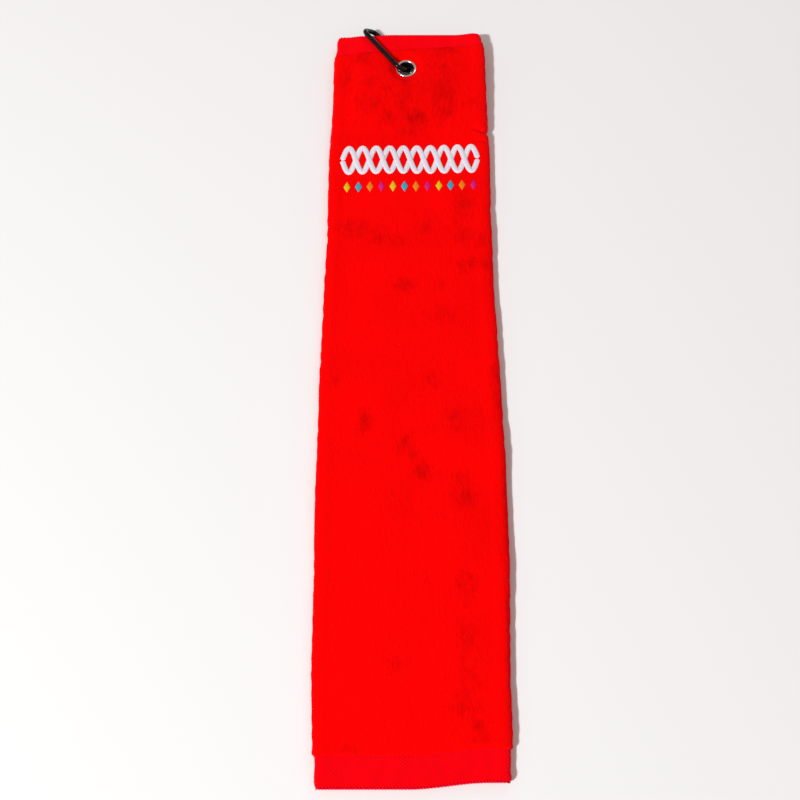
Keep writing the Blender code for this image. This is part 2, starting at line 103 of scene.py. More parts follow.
# Patches where the pile is brushed the other way, and two long narrow strips along the right fold that
# are painted shade: place, reach across and along, strength
brushed_and_shaded_patches = [
    (-0.040, 0.578, 0.010, 0.007, 0.7), (0.029, 0.583, 0.012, 0.006, 0.8),
    (0.028, 0.567, 0.014, 0.007, 0.5), (-0.051, 0.558, 0.006, 0.010, 0.6),
    (-0.030, 0.554, 0.007, 0.006, 0.5), (-0.003, 0.541, 0.012, 0.012, 0.5),
    (0.029, 0.542, 0.010, 0.014, 0.6), (-0.035, 0.531, 0.013, 0.006, 0.5),
    (-0.019, 0.520, 0.008, 0.006, 0.7), (0.005, 0.518, 0.015, 0.008, 0.8),
    (0.031, 0.525, 0.006, 0.008, 0.5), (0.052, 0.531, 0.006, 0.006, 0.5),
    (0.001, 0.505, 0.012, 0.005, 0.5), (-0.016, 0.570, 0.008, 0.007, 0.9),
    (-0.050, 0.453, 0.008, 0.006, 0.6), (-0.045, 0.417, 0.013, 0.009, 0.7),
    (-0.025, 0.409, 0.011, 0.009, 0.7), (-0.007, 0.404, 0.008, 0.006, 0.5),
    (0.015, 0.419, 0.014, 0.010, 0.5), (0.041, 0.439, 0.011, 0.014, 0.7),
    (0.041, 0.410, 0.009, 0.009, 0.6), (0.056, 0.407, 0.005, 0.010, 0.7),
    (0.044, 0.385, 0.011, 0.009, 0.7), (0.060, 0.380, 0.005, 0.015, 0.6),
    (-0.005, 0.368, 0.008, 0.008, 0.8), (0.025, 0.341, 0.011, 0.008, 0.6),
    (0.026, 0.368, 0.013, 0.006, 0.4), (0.063, 0.293, 0.005, 0.009, 0.7),
    (-0.056, 0.287, 0.005, 0.006, 0.5), (0.016, 0.288, 0.010, 0.008, 0.5),
    (-0.035, 0.256, 0.006, 0.010, 0.9), (-0.006, 0.240, 0.006, 0.009, 0.8),
    (0.000, 0.231, 0.006, 0.005, 0.9), (0.008, 0.217, 0.008, 0.008, 1.0),
    (0.033, 0.257, 0.007, 0.012, 0.7), (0.064, 0.271, 0.005, 0.014, 0.7),
    (0.037, 0.213, 0.007, 0.006, 0.6), (0.038, 0.198, 0.009, 0.009, 1.0),
    # The first patch on the next line is a strip of painted shade along the right fold
    (0.067, 0.200, 0.003, 0.045, 0.6), (0.038, 0.134, 0.007, 0.012, 0.7),
    (0.012, 0.141, 0.008, 0.007, 0.4), (0.037, 0.100, 0.006, 0.012, 0.8),
    (0.037, 0.071, 0.009, 0.012, 0.5), (-0.012, 0.081, 0.006, 0.007, 0.6),
    (0.035, 0.050, 0.010, 0.009, 0.6), (0.044, 0.036, 0.005, 0.005, 0.8),
    (-0.044, 0.024, 0.009, 0.003, 0.7), (0.046, 0.027, 0.014, 0.002, 0.9),
    # The first patch on the next line is a strip of painted shade along the right fold
    (0.067, 0.100, 0.003, 0.060, 0.7), (0.0, 0.540, 0.060, 0.040, 0.35),
]


def ease(share):
    """A smooth step from 0 to 1: three times the square less twice the cube."""
    share = np.clip(share, 0.0, 1.0)
    return share * share * (3 - 2 * share)


def follow(points, y, reach=0.010):
    """A line through the points, averaged over the reach on both sides so that it bends softly."""
    place, value = np.array(points).T
    return np.mean([np.interp(y + step, place, value) for step in np.linspace(-reach, reach, 9)], axis=0)


def ripple(x, y, size, seed):
    """Soft unevenness of about that size: ten sine waves in chance directions, added."""
    chance = np.random.default_rng(seed)
    angle, phase, stretch = chance.uniform((0, 0, 0.7), (math.tau, math.tau, 1.6), (10, 3)).T
    across, along = np.asarray(x)[..., None], np.asarray(y)[..., None]
    turn = math.tau / (size * stretch)
    waves = np.sin((across * np.cos(angle) + along * np.sin(angle)) * turn + phase)
    return waves.sum(-1) / 10**0.5


def fold_place(line, notches, seed, y):
    """How far a fold lies from the middle line: its line, less its notches, plus fine waviness.

    It stands in where the hems are, and a little more at the very corners."""
    place = follow(line, y) + 0.00022 * ripple(0.0, y, 0.011, seed)
    for centre, depth, reach in notches:
        place = place - depth * np.exp(-(((y - centre) / reach) ** 2))
    in_hem = ease((bottom_hem + 0.0012 - y) / 0.0012) + 1.3 * ease((y - length + 0.024) / 0.022)
    top_corner = 0.0011 * ease((y - length + 0.0030) / 0.0030) ** 2
    bottom_corner = 0.0012 * ease((0.0030 - y) / 0.0030) ** 2
    return place - hem_inset * in_hem - (top_corner + bottom_corner)


def rise(x, y):
    """What all the layers gain: the step over the gate, a lifted corner and soft waves.

    The step fades out on the side that the carabiner leans to, where nothing lies below."""
    away = np.hypot(x - grommet.x, y - grommet_along)
    free = ease((away - swept_reach) / 0.014)
    waves = wave_height * np.maximum(0.6 + ripple(x, y, wave_size, 5), 0) * free * ease(y / 0.03)
    corner = corner_lift * ease((x - 0.020) / 0.040) * ease((y - 0.560) / 0.040) * free
    settled = 1 - 0.55 * ease((-0.038 - x) / 0.018)
    return lift * settled * ease((y - lift_start) / (lift_end - lift_start)) + waves + corner


def crease_depth(x, y):
    """Depth of the creases: a groove along each line, deepest at its start."""
    total = np.zeros(np.broadcast(x, y).shape)
    for (x0, y0), (x1, y1), depth, reach in creases:
        run = np.array([x1 - x0, y1 - y0])
        share = np.clip(((x - x0) * run[0] + (y - y0) * run[1]) / (run @ run), 0, 1)
        off = np.hypot(x - x0 - share * run[0], y - y0 - share * run[1])
        total = total + depth * (1 - share**2) * np.exp(-((off / reach) ** 2))
    return total


def squeeze(x, y):
    """Share of the full height that is left where the grommet presses the cloth, with puckers."""
    away = np.hypot(x - grommet.x, y - grommet_along)
    turn = np.arctan2(y - grommet_along, x - grommet.x)
    share = ease((away - pad_radius) / pad_slope)
    pucker = pucker_depth * np.sin(pucker_count * turn + 1.3 * np.sin(2 * turn)) * share * (1 - share) * 4
    return pressed_share + (1 - pressed_share) * share + pucker


def edge_shift(x, y):
    """How far rows slide along the towel: its ends and its top hem aren't quite square."""
    bottom = bottom_slant * ease((x + 0.002) / 0.052) * ease((0.10 - y) / 0.09)
    top = (top_step * ease((x + 0.034) / 0.020) - top_drop) * ease((y - 0.53) / 0.07)
    from_hem = y - length + top_hem
    near_hem = 1 - ease(abs(from_hem) / np.where(from_hem > 0, 0.0125, 0.0095))
    return bottom + top + (hem_slide + hem_slant * x) * near_hem


def spaced(low, high, spacing):
    """Places from low to high whose steps follow the wanted spacing."""
    fine = np.linspace(low, high, 4001)
    between = (fine[1:] + fine[:-1]) / 2
    count = np.concatenate([[0.0], np.cumsum((fine[1] - fine[0]) / spacing(between))])
    return np.interp(np.linspace(0, count[-1], round(count[-1]) + 1), count, fine)


def row_spacing(y):
    """Fine at the hems' edges, round the grommet and at the creases, and wider elsewhere."""
    steps = np.full_like(y, 0.0032)
    steps = np.where((y < 0.020) | (y > length - 0.015), 0.0017, steps)
    steps = np.where((y < 0.004) | (y > length - 0.005), 0.0007, steps)
    steps = np.where(np.minimum(abs(y - bottom_hem), abs(y - length + top_hem)) < 0.003, 0.0007, steps)
    steps = np.where(abs(y - grommet_along) < 0.0135, 0.0013, steps)
    return np.where(abs(y - 0.502) < 0.010, 0.0008, steps)


def near_grommet(wide):
    """A spacing across a layer, in shares of its width: fine round the grommet, wide elsewhere."""
    centre = 0.5 + grommet.x / 0.122
    return lambda share: np.where(abs(share - centre) < 0.11, 0.0104, wide)


def front_spacing(share):
    """The front's spacing across: finer round the grommet, and by the right fold for its creases."""
    return np.where(share > 0.90, 0.0085, near_grommet(0.0125)(share))


rows = spaced(0.0, length, row_spacing)
hidden = spaced(0.0, 1.0, near_grommet(0.055))
front = spaced(0.0, 1.0, front_spacing)
left_turns, right_turns = 9, 13  # points round the left fold and round the right one
low, middle, high = cloth / 2, cloth / 2 + layer_pitch, cloth / 2 + 2 * layer_pitch


def folded_section(y):
    """The cloth's middle line across the towel, for an array of rows.

    It runs from the inner flap's edge round the left fold, over the front and round the right
    fold to the outer flap's edge. Gives x and height, with a row for each y."""
    y = y[:, None]
    left = -fold_place(left_line, left_notches, 11, y) + layer_pitch / 2 + cloth / 2
    right = fold_place(right_line, right_notches, 12, y) - layer_pitch - cloth / 2
    turn_left = -math.pi / 2 - np.linspace(0, math.pi, left_turns + 2)[None, 1:-1]
    turn_right = math.pi / 2 - np.linspace(0, math.pi, right_turns + 2)[None, 1:-1]
    x = [
        right - 0.0013 + (left - right + 0.0013) * hidden[None],
        left + layer_pitch / 2 * np.cos(turn_left) * 1.15,
        left + (right - left) * front[None],
        right + layer_pitch * np.cos(turn_right) * 1.1,
        right + (left - 0.0005 - right) * hidden[None],
    ]
    by_left, by_right = (np.exp(-(((front[None] - edge) / 0.03) ** 2)) for edge in (0.03, 0.97))
    bulge = 0.00035 * by_left + 0.00035 * by_right
    height = [
        np.full_like(x[0], middle),
        (middle + high) / 2 + layer_pitch / 2 * np.sin(turn_left) + 0 * y,
        high + bulge + 0 * y,
        middle + layer_pitch * np.sin(turn_right) + 0 * y,
        np.full_like(x[4], low),
    ]
    return np.concatenate(x, 1), np.concatenate(height, 1)


def laid(x, y, height):
    """Places a point of the flat stack: pressed at the grommet, creased, raised and slid."""
    layer = np.clip((height - low) / (high - low), 0, 1)
    pressed = stack / 2 + (height - stack / 2) * squeeze(x, y) - crease_depth(x, y) * layer**2
    return np.stack([x, bottom_y + y + edge_shift(x, y), pressed + rise(x, y)], -1)


def pushed_out(x, y):
    """Opens the hole: points near its centre move out to its edge or past it.

    Distances from where points are left out to where the cloth makes room are scaled to start
    at the hole's edge."""
    away = np.maximum(np.hypot(x - grommet.x, y - grommet_along), 1e-6)
    past = np.maximum(away, cut_reach) - cut_reach
    wanted = hole_radius + past * (hole_reach - hole_radius) / (hole_reach - cut_reach)
    share = np.where(away < hole_reach, wanted / away, 1.0)
    return grommet.x + (x - grommet.x) * share, grommet_along + (y - grommet_along) * share, away


def cloth_half(y, column_share):
    """Half the cloth's thickness: full pile, less at the hems."""
    bottom = ease((y - bottom_hem) / pile_slope)
    top = ease((length - top_hem - y) / pile_slope)
    return cloth / 2 * (hem_share + (1 - hem_share) * np.minimum(np.minimum(bottom, top), column_share))


def run_along(line):
    """Distance covered at each point of a line, from its start: the steps' lengths, summed."""
    return np.concatenate([[0.0], np.cumsum(np.linalg.norm(np.diff(line, axis=0), axis=-1))])


def sheet_grid(y):
    """Middle surface of the cloth, its half thickness and the distance from the hole's centre."""
    x, height = folded_section(y)
    along = np.broadcast_to(y[:, None], x.shape)
    run = run_along(np.stack([x[len(y) // 2], height[len(y) // 2]], -1))
    side = np.minimum(ease((run - side_hem) / 0.002), ease((run[-1] - side_hem - run) / 0.002))
    x, along, away = pushed_out(x, along)
    surface = laid(x, along, height)
    half = cloth_half(along, side[None]) * squeeze(x, along)
    return surface, half, away


def normals_of(surface):
    """Unit normals of a grid of points, from its steps along both ways."""
    normal = np.cross(np.gradient(surface, axis=0), np.gradient(surface, axis=1))
    return -normal / np.maximum(np.linalg.norm(normal, axis=-1, keepdims=True), 1e-12)


def mesh_from(name, points, quads, caps=None):
    """A smooth mesh object at the origin, from points, four-cornered faces and end faces."""
    parts = [quads] if caps is None else [quads, caps]
    corners = np.concatenate([part.ravel() for part in parts])
    sizes = np.concatenate([np.full(len(part), part.shape[1]) for part in parts])
    mesh = bpy.data.meshes.new(name)
    mesh.vertices.add(len(points))
    mesh.vertices.foreach_set("co", np.ascontiguousarray(points, np.float32).ravel())
    mesh.loops.add(len(corners))
    mesh.loops.foreach_set("vertex_index", corners.astype(np.int32))
    mesh.polygons.add(len(sizes))
    mesh.polygons.foreach_set("loop_start", (np.cumsum(sizes) - sizes).astype(np.int32))
    mesh.update(calc_edges=True)
    mesh.shade_smooth()
    thing = bpy.data.objects.new(name, mesh)
    bpy.context.scene.collection.objects.link(thing)
    return thing


def give_values(thing, name, values):
    """Stores one number for each point under the name, for the material to read."""
    attribute = thing.data.attributes.new(name, "FLOAT", "POINT")
    attribute.data.foreach_set("value", np.ascontiguousarray(values, np.float32).ravel())


def finish_piece(thing, material, body, slot, *stands_for):
    """Gives a piece its material and its body, and hides the frame's nodes that it stands for. The slot
    is not used.
    """
    if material is not None:
        thing.data.materials.clear()
        thing.data.materials.append(material)
    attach(thing, body)
    if stands_for:
        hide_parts(*stands_for)
    return thing


def grid_faces(shape, keep):
    """Four-cornered faces between neighbours of a grid of points, where keep says so."""
    index = np.arange(shape[0] * shape[1]).reshape(shape)
    return np.stack([index[:-1, :-1], index[:-1, 1:], index[1:, 1:], index[1:, :-1]], -1)[keep]


# Both faces of the cloth, and walls between them along the cut edges and round the hole
surface, half, away = sheet_grid(rows)
normal = normals_of(surface)
kept = np.minimum.reduce([away[:-1, :-1], away[:-1, 1:], away[1:, 1:], away[1:, :-1]]) > cut_reach
upper = grid_faces(surface.shape[:2], kept)
below = surface[..., 0].size  # from a point's number to that of its fellow on the other face
edges = np.concatenate([upper[:, [a, (a + 1) % 4]] for a in range(4)])
rim = edges[~np.isin(edges[:, 0] * below + edges[:, 1], edges[:, 1] * below + edges[:, 0])]
walls = np.stack([rim[:, 1], rim[:, 0], rim[:, 0] + below, rim[:, 1] + below], -1)
outer_face = surface + normal * half[..., None]
inner_face = surface - normal * half[..., None]
points = np.concatenate([outer_face.reshape(-1, 3), inner_face.reshape(-1, 3)])
used, index = np.unique(np.concatenate([upper, upper[:, ::-1] + below, walls]), return_inverse=True)
points = points[used]
towel = mesh_from("towel_cloth", points, index.reshape(-1, 4))

# Each point's place before its row slid, which is found in a few rounds
across, slid = points[:, 0], points[:, 1] - bottom_y
along = slid
for _ in range(8):
    along = slid - edge_shift(across, along)
# Darkness of the pile where it is brushed the other way, and painted shade along the right fold
brushed_and_shaded = np.zeros(len(points))
for x, y, reach_across, reach_along, strength in brushed_and_shaded_patches:
    brushed_and_shaded += strength * np.exp(-(((across - x) / reach_across) ** 2) - ((along - y) / reach_along) ** 2)
give_values(towel, "brushed_and_shaded", np.clip(brushed_and_shaded, 0, 1))
in_bottom_hem = ease((bottom_hem + 0.0006 - along) / 0.0006)
in_top_hem = ease((along - length + top_hem + 0.0006) / 0.0006)
give_values(towel, "hem", np.maximum(in_bottom_hem, in_top_hem))


def draw_in(tree):
    """Makes the next nodes and links in this tree."""
    global nodes, links
    nodes, links = tree.nodes, tree.links


def node(kind, **values):
    """A node of the tree in hand, with plain values on its sockets."""
    made = nodes.new(kind)
    for name, value in values.items():
        made.inputs[name.replace("_", " ")].default_value = value
    return made


def feed(socket, value):
    """Links a socket to an output, or sets it to a plain value."""
    if isinstance(value, bpy.types.NodeSocket):
        links.new(value, socket)
    else:
        socket.default_value = value


def math_node(operation, a, b=0.0, c=0.0, clamp=False):
    """The output of a Math node of numbers or outputs."""
    made = nodes.new("ShaderNodeMath")
    made.operation = operation
    made.use_clamp = clamp
    for socket, value in zip(made.inputs, (a, b, c)):
        feed(socket, value)
    return made.outputs[0]


def mix_colours(share, a, b):
    """A colour between two, by the share."""
    made = nodes.new("ShaderNodeMix")
    made.data_type = "RGBA"
    for index, value in ((0, share), (6, a), (7, b)):
        feed(made.inputs[index], value)
    return made.outputs[2]


def noise(place, scale, detail=2.0, stretch=(1.0, 1.0, 1.0)):
    """Noise over a place, stretched by the three factors."""
    mapping = nodes.new("ShaderNodeMapping")
    mapping.inputs["Scale"].default_value = stretch
    links.new(place, mapping.inputs["Vector"])
    made = node("ShaderNodeTexNoise", Scale=scale, Detail=detail, Roughness=0.6)
    links.new(mapping.outputs[0], made.inputs["Vector"])
    return made.outputs["Fac"]


def bump(height, distance, strength=1.0, normal=None):
    """A Bump node over a height, on top of another normal if one is given."""
    made = node("ShaderNodeBump", Strength=strength, Distance=distance)
    links.new(height, made.inputs["Height"])
    if normal is not None:
        links.new(normal, made.inputs["Normal"])
    return made.outputs["Normal"]


def value_of(name):
    """The numbers that a piece holds under the name."""
    made = nodes.new("ShaderNodeAttribute")
    made.attribute_name = name
    return made.outputs["Fac"]


def new_material(name, roughness, **values):
    """A material with plain values on its shader; gives the material and its shader's sockets."""
    material = bpy.data.materials.new(name)
    material.use_nodes = True
    draw_in(material.node_tree)
    sockets = material.node_tree.nodes["Principled BSDF"].inputs
    sockets["Roughness"].default_value = roughness
    for key, value in values.items():
        sockets[key.replace("_", " ")].default_value = value
    return material, sockets


velour, shader = new_material(
    "red_velour", 0.95, Specular_IOR_Level=0.04, Sheen_Weight=0.10, Sheen_Roughness=0.45,
    Sheen_Tint=(1.0, 0.02, 0.12, 1.0),
)
place = nodes.new("ShaderNodeTexCoord").outputs["Object"]
hem_mask = value_of("hem")
pile = noise(place, 1100.0, 2.0, (1.0, 0.55, 1.0))
tufts = noise(place, 420.0, 3.0, (1.0, 0.40, 1.0))
cloudy = noise(place, 110.0, 3.0, (1.0, 0.7, 1.0))
speckle = math_node("MULTIPLY_ADD", tufts, 0.8, math_node("MULTIPLY", pile, 0.25))
# The pile is painted darker where it is brushed, and with painted shade along the right fold
nap_and_shade = math_node("MULTIPLY", value_of("brushed_and_shaded"), math_node("MULTIPLY_ADD", cloudy, 1.2, -0.15))
nap_and_shade_over = math_node("SUBTRACT", math_node("ADD", nap_and_shade, speckle), 0.60)
nap_and_shade_dark = math_node("MULTIPLY", nap_and_shade_over, 1.5, clamp=True)
pile_colour = mix_colours(nap_and_shade_dark, (0.87, 0.0, 0.0, 1.0), (0.50, 0.0, 0.0, 1.0))

twill_across, twill_along = 0.00309, 0.00215  # pitch of the hems' slanting ribs, both ways
slope = nodes.new("ShaderNodeVectorMath")
slope.operation = "DOT_PRODUCT"
links.new(place, slope.inputs[0])
slope.inputs[1].default_value = (math.tau / twill_across, math.tau / twill_along, 0.0)
twill = math_node("MULTIPLY_ADD", math_node("SINE", slope.outputs["Value"]), 0.5, 0.5)
twill_ridge = math_node("POWER", twill, 0.6)
# The twill's grooves are painted darker in cloudy patches: painted shade between its ribs
twill_groove = math_node("SUBTRACT", 0.36, twill_ridge)
twill_patches = math_node("MULTIPLY_ADD", cloudy, 7.0, -1.4)
twill_groove_shade = math_node("MULTIPLY", twill_groove, twill_patches, clamp=True)
hem_colour = mix_colours(twill_groove_shade, (0.95, 0.0, 0.004, 1.0), (0.33, 0.0, 0.0, 1.0))
feed(shader["Base Color"], mix_colours(hem_mask, pile_colour, hem_colour))

pile_height = math_node("MULTIPLY", math_node("ADD", pile, tufts), math_node("SUBTRACT", 1.0, hem_mask))
twill_height = math_node("MULTIPLY", twill_ridge, hem_mask)
feed(shader["Normal"], bump(twill_height, 0.0003, 0.6, bump(pile_height, 0.0005, 0.8)))
finish_piece(towel, velour, "towel", "velour", "towel_sheet")

# Pile fibres. Loose ends of the cotton pile that stand out all round the two folds. Each is
# a thin three-sided spike, rooted in the cloth, and rides with it.


def rings_mesh(name, rings, loop=False):
    """Closed skins through rings of points, an array of skin, ring, point and x, y, z.

    Each ring runs anticlockwise seen from the next one. A looped skin joins its last ring to
    its first, and any other skin is closed by a flat face at each end."""
    index = np.arange(rings[..., 0].size).reshape(rings.shape[:3])
    walk = np.concatenate([index, index[:, :1]], 1) if loop else index
    after = np.roll(walk, -1, 2)
    sides = np.stack([walk[:, :-1], after[:, :-1], after[:, 1:], walk[:, 1:]], -1).reshape(-1, 4)
    caps = None if loop else np.concatenate([index[:, 0, ::-1], index[:, -1]])
    return mesh_from(name, rings.reshape(-1, 3), sides, caps)


def swept(centres, ups, half_width, half_height, corners):
    """Oval rings along paths: the centre, plus the turn's cosine sideways and its sine upwards."""
    run = np.gradient(centres, axis=-2)
    run = run / np.linalg.norm(run, axis=-1, keepdims=True)
    sides = np.cross(ups, run)
    sides = sides / np.linalg.norm(sides, axis=-1, keepdims=True)
    ups = np.cross(run, sides)
    turn = np.linspace(0, math.tau, corners, endpoint=False)[:, None]
    wide = np.asarray(half_width)[..., None, None] * np.cos(turn)
    tall = np.asarray(half_height)[..., None, None] * np.sin(turn)
    return centres[..., None, :] + sides[..., None, :] * wide + ups[..., None, :] * tall


def above_table(rings):
    """The same rings, with no point lower than the table."""
    return np.concatenate([rings[..., :2], np.maximum(rings[..., 2:], 0.00005)], -1)


fibre_count, fibre_root, fibre_tip, root_depth = 9000, 0.00009, 0.00002, 0.0004
chance = np.random.default_rng(21)
row = chance.integers(1, len(rows) - 1, fibre_count)
left_fold, right_fold = len(hidden), len(hidden) + left_turns + len(front)
column = np.where(
    chance.random(fibre_count) < 0.5,
    left_fold + chance.integers(0, left_turns, fibre_count),
    right_fold + chance.integers(0, right_turns, fibre_count),
)
along_row = chance.random(fibre_count)[:, None]
root = outer_face[row, column] * along_row + outer_face[row - 1, column] * (1 - along_row)
out = normal[row, column] + chance.normal(0, 0.5, (fibre_count, 3))
out = out / np.linalg.norm(out, axis=-1, keepdims=True)
reach = chance.uniform(0.0002, 0.0009, fibre_count)[:, None]
stem = np.stack([root - out * root_depth, root + out * reach], 1)
up = np.cross(out, chance.normal(0, 1, (fibre_count, 3)))
up = np.stack([up, up], 1) / np.linalg.norm(up, axis=-1)[:, None, None]
thick = np.array([fibre_root, fibre_tip])[None].repeat(fibre_count, 0)
fibres = rings_mesh("pile_fibres", above_table(swept(stem, up, thick, thick, 3)))
fibre, shader = new_material("red_fibre", 0.8, Sheen_Weight=0.3, Sheen_Tint=(1.0, 0.1, 0.2, 1.0))
place = nodes.new("ShaderNodeTexCoord").outputs["Object"]
fibre_mix = noise(place, 300.0)
feed(shader["Base Color"], mix_colours(fibre_mix, (0.72, 0.0, 0.0, 1.0), (0.88, 0.01, 0.04, 1.0)))
finish_piece(fibres, fibre, "towel", "velour")

# Hem seams. Polyester thread in red lockstitch, one row across each end through every
# layer's hem and one along each side edge, with each stitch dipping into the cloth.

stitch_run, stitch_gap, thread_radius = 0.0026, 0.0006, 0.00022
bottom_seam, top_seam, side_seam = 0.0194, 0.0135, 0.007  # in from their edges


def new_group(name, inputs, outputs):
    """A node group with named sockets; gives it, what it is given and what it puts out."""
    group = bpy.data.node_groups.new(name, "ShaderNodeTree")
    for socket, kind in inputs.items():
        group.interface.new_socket(name=socket, in_out="INPUT", socket_type=kind)
    for socket in outputs:
        group.interface.new_socket(name=socket, in_out="OUTPUT", socket_type="NodeSocketFloat")
    draw_in(group)
    return group, nodes.new("NodeGroupInput").outputs, nodes.new("NodeGroupOutput").inputs


# Ridges of laid or twisted thread: a sine of the run over the pitch, roughened by noise
number, vector = "NodeSocketFloat", "NodeSocketVector"
thread_ridges, given, result = new_group(
    "thread_ridges", {"Run": number, "Place": vector, "Pitch": number}, ("Height", "Shade")
)
fluff = noise(given["Place"], 1500.0, 2.0)
phase = math_node("DIVIDE", given["Run"], given["Pitch"])
ridge = math_node("SINE", math_node("MULTIPLY_ADD", phase, math.tau, math_node("MULTIPLY", fluff, 2.0)))
height = math_node("MULTIPLY_ADD", ridge, 0.5, 0.5)
feed(result["Height"], math_node("MULTIPLY_ADD", fluff, 0.5, height))
feed(result["Shade"], math_node("MULTIPLY", math_node("SUBTRACT", 1.0, height), fluff, clamp=True))


def thread_material(name, light, dark, pitch, roughness=0.7, gloss=0.06):
    """Thread in one colour: darker between the ridges, with its own gloss."""
    material, shader = new_material(name, roughness, Specular_IOR_Level=gloss)
    place = nodes.new("ShaderNodeTexCoord").outputs["Object"]
    ridges = nodes.new("ShaderNodeGroup")
    ridges.node_tree = thread_ridges
    links.new(value_of("run"), ridges.inputs["Run"])
    links.new(place, ridges.inputs["Place"])
    ridges.inputs["Pitch"].default_value = pitch
    feed(shader["Base Color"], mix_colours(ridges.outputs["Shade"], light, dark))
    feed(shader["Normal"], bump(ridges.outputs["Height"], 0.00012, 0.9))
    return material


def face_line(y):
    """Points and outward normals of the towel's outer face across the whole cloth at one row."""
    surface, half, _ = sheet_grid(np.array([y - 0.0004, y, y + 0.0004]))
    normal = normals_of(surface)
    return (surface + normal * half[..., None])[1], normal[1]


def side_line(column, inset, outward):
    """Points and normals along a side hem, at the inset from its edge, on the face or the back."""
    inside = slice(int(np.searchsorted(rows, 0.024)), int(np.searchsorted(rows, length - 0.019)))
    edge, next_in = surface[inside, column], surface[inside, 1 if column == 0 else -2]
    step = next_in - edge
    share = inset / np.linalg.norm(step, axis=-1, keepdims=True)
    away = normal[inside, column] * outward
    return edge + step * share + away * half[inside, column, None], away


def stitch_row(line, normals, run, gap, radius):
    """Stitches along a line: each arches up by a thread's radius and dips at both ends."""
    way = run_along(line)
    starts = np.arange(gap, way[-1] - run - gap, run + gap)
    share = np.linspace(0, 1, 6)
    at = starts[:, None] + share[None] * run
    centres = np.stack([np.interp(at, way, line[:, a]) for a in range(3)], -1)
    ups = np.stack([np.interp(at, way, normals[:, a]) for a in range(3)], -1)
    arch = radius * (1.7 * np.sin(math.pi * share) - 0.9)
    thickness = np.broadcast_to(radius * (0.45 + 0.55 * np.sin(math.pi * share) ** 0.5), at.shape)
    centres = centres + ups * arch[None, :, None]
    return swept(centres, ups, thickness, thickness, 6), at


red_thread = thread_material("red_thread", (0.82, 0.0, 0.01, 1.0), (0.52, 0.0, 0.0, 1.0), 0.0007)
seams = {
    "bottom_hem_thread": face_line(bottom_seam),
    "top_hem_thread": face_line(length - top_seam),
    "side_hem_thread_inner": side_line(0, side_seam, 1.0),
    "side_hem_thread_outer": side_line(-1, side_seam, 1.0),
}
for node_name, (line, normals) in seams.items():
    rings, at = stitch_row(line, normals, stitch_run, stitch_gap, thread_radius)
    seam = rings_mesh(node_name.replace("thread", "stitches"), above_table(rings))
    give_values(seam, "run", np.broadcast_to(at[..., None], rings.shape[:3]))
    finish_piece(seam, red_thread, "towel", "hem_thread", node_name)

# Overlocking. The cut edges at both ends are bound by thick red loops of polyester thread,
# side by side, which give the towel's ends their fine scallops.


loop_pitch, loop_reach, loop_height = 0.0022, 0.0004, 0.00078
loop_turn = 1.75  # how far a loop goes round on each side of the edge, in radians


def edge_loops(line, outward, up):
    """Loops over an edge: half ovals from the face round the edge to the back, at even steps.

    Each leans over by a third of the pitch, as the next one starts where it ends."""
    way = run_along(line)
    at = np.arange(loop_pitch / 2, way[-1], loop_pitch)
    centre = np.stack([np.interp(at, way, line[:, a]) for a in range(3)], -1)[:, None]
    out = np.stack([np.interp(at, way, outward[:, a]) for a in range(3)], -1)[:, None]
    high = np.stack([np.interp(at, way, up[:, a]) for a in range(3)], -1)[:, None]
    turn = np.linspace(-loop_turn, loop_turn, 7)[None, :, None]
    path = centre + out * loop_reach * np.cos(turn) * 0.9 + high * loop_height * np.sin(turn)
    path = path + np.cross(out, high) * 0.35 * loop_pitch * turn / loop_turn
    ups = out * np.cos(turn) + high * np.sin(turn)
    wide, thick = (np.full(path.shape[:2], size) for size in (loop_pitch * 0.52, thread_radius))
    return swept(path, ups, wide, thick, 6), at


edge_thread = thread_material(
    "overlock_thread", (0.90, 0.0, 0.03, 1.0), (0.78, 0.0, 0.02, 1.0), 0.0009
)
end_rows = {"bottom_edge_overlock": (0, -1.0), "top_edge_overlock": (-1, 1.0)}
for name, (row, sense) in end_rows.items():
    line = surface[row]
    outward = np.broadcast_to(np.array([0.0, sense, 0.0]), line.shape)
    rings, at = edge_loops(line, outward, normal[row])
    overlock = rings_mesh(name, above_table(rings))
    give_values(overlock, "run", np.broadcast_to(at[:, None, None], rings.shape[:3]))
    finish_piece(overlock, edge_thread, "towel", "hem_thread")

# Grommet. A nickel-plated brass eyelet pressed through all three layers: its rolled flange
# shows on the front, and its barrel is curled over a loose washer on the back.

throat, barrel, flange = 0.006222, 0.006822, 0.008422
flange_under, flange_top, curl_top, curl_bottom = 0.002094, 0.002794, 0.003094, 0.003694
washer_hole = 0.007522
grommet_middle = eyelet_high.z - flange_top


def rounded(profile, reach, steps=5):
    """A closed outline whose corners are quadratic curves, which start and end at the reach."""
    corner = np.array(profile, float)
    curve = []
    for other in (np.roll(corner, 1, 0), np.roll(corner, -1, 0)):
        span = np.linalg.norm(other - corner, axis=1, keepdims=True)
        curve.append(corner + (other - corner) * np.minimum(reach / span, 0.48))
    t = np.linspace(0, 1, steps)[None, :, None]
    before, after = curve[0][:, None], curve[1][:, None]
    points = (1 - t) ** 2 * before + 2 * t * (1 - t) * corner[:, None] + t**2 * after
    return points.reshape(-1, 2)


def turned(name, profile, reach, steps=96):
    """An outline of radius and height carried round the grommet's axis."""
    outline = rounded(profile, reach)
    turn = np.linspace(0, math.tau, steps, endpoint=False)[:, None]
    x = grommet.x + outline[:, 0] * np.cos(turn)
    y = grommet.y + outline[:, 0] * np.sin(turn)
    z = grommet_middle + outline[:, 1] + 0 * turn
    thing = rings_mesh(name, np.stack([x, y, z], -1)[None], loop=True)
    give_values(thing, "radius", np.broadcast_to(outline[:, 0], x.shape))
    return thing


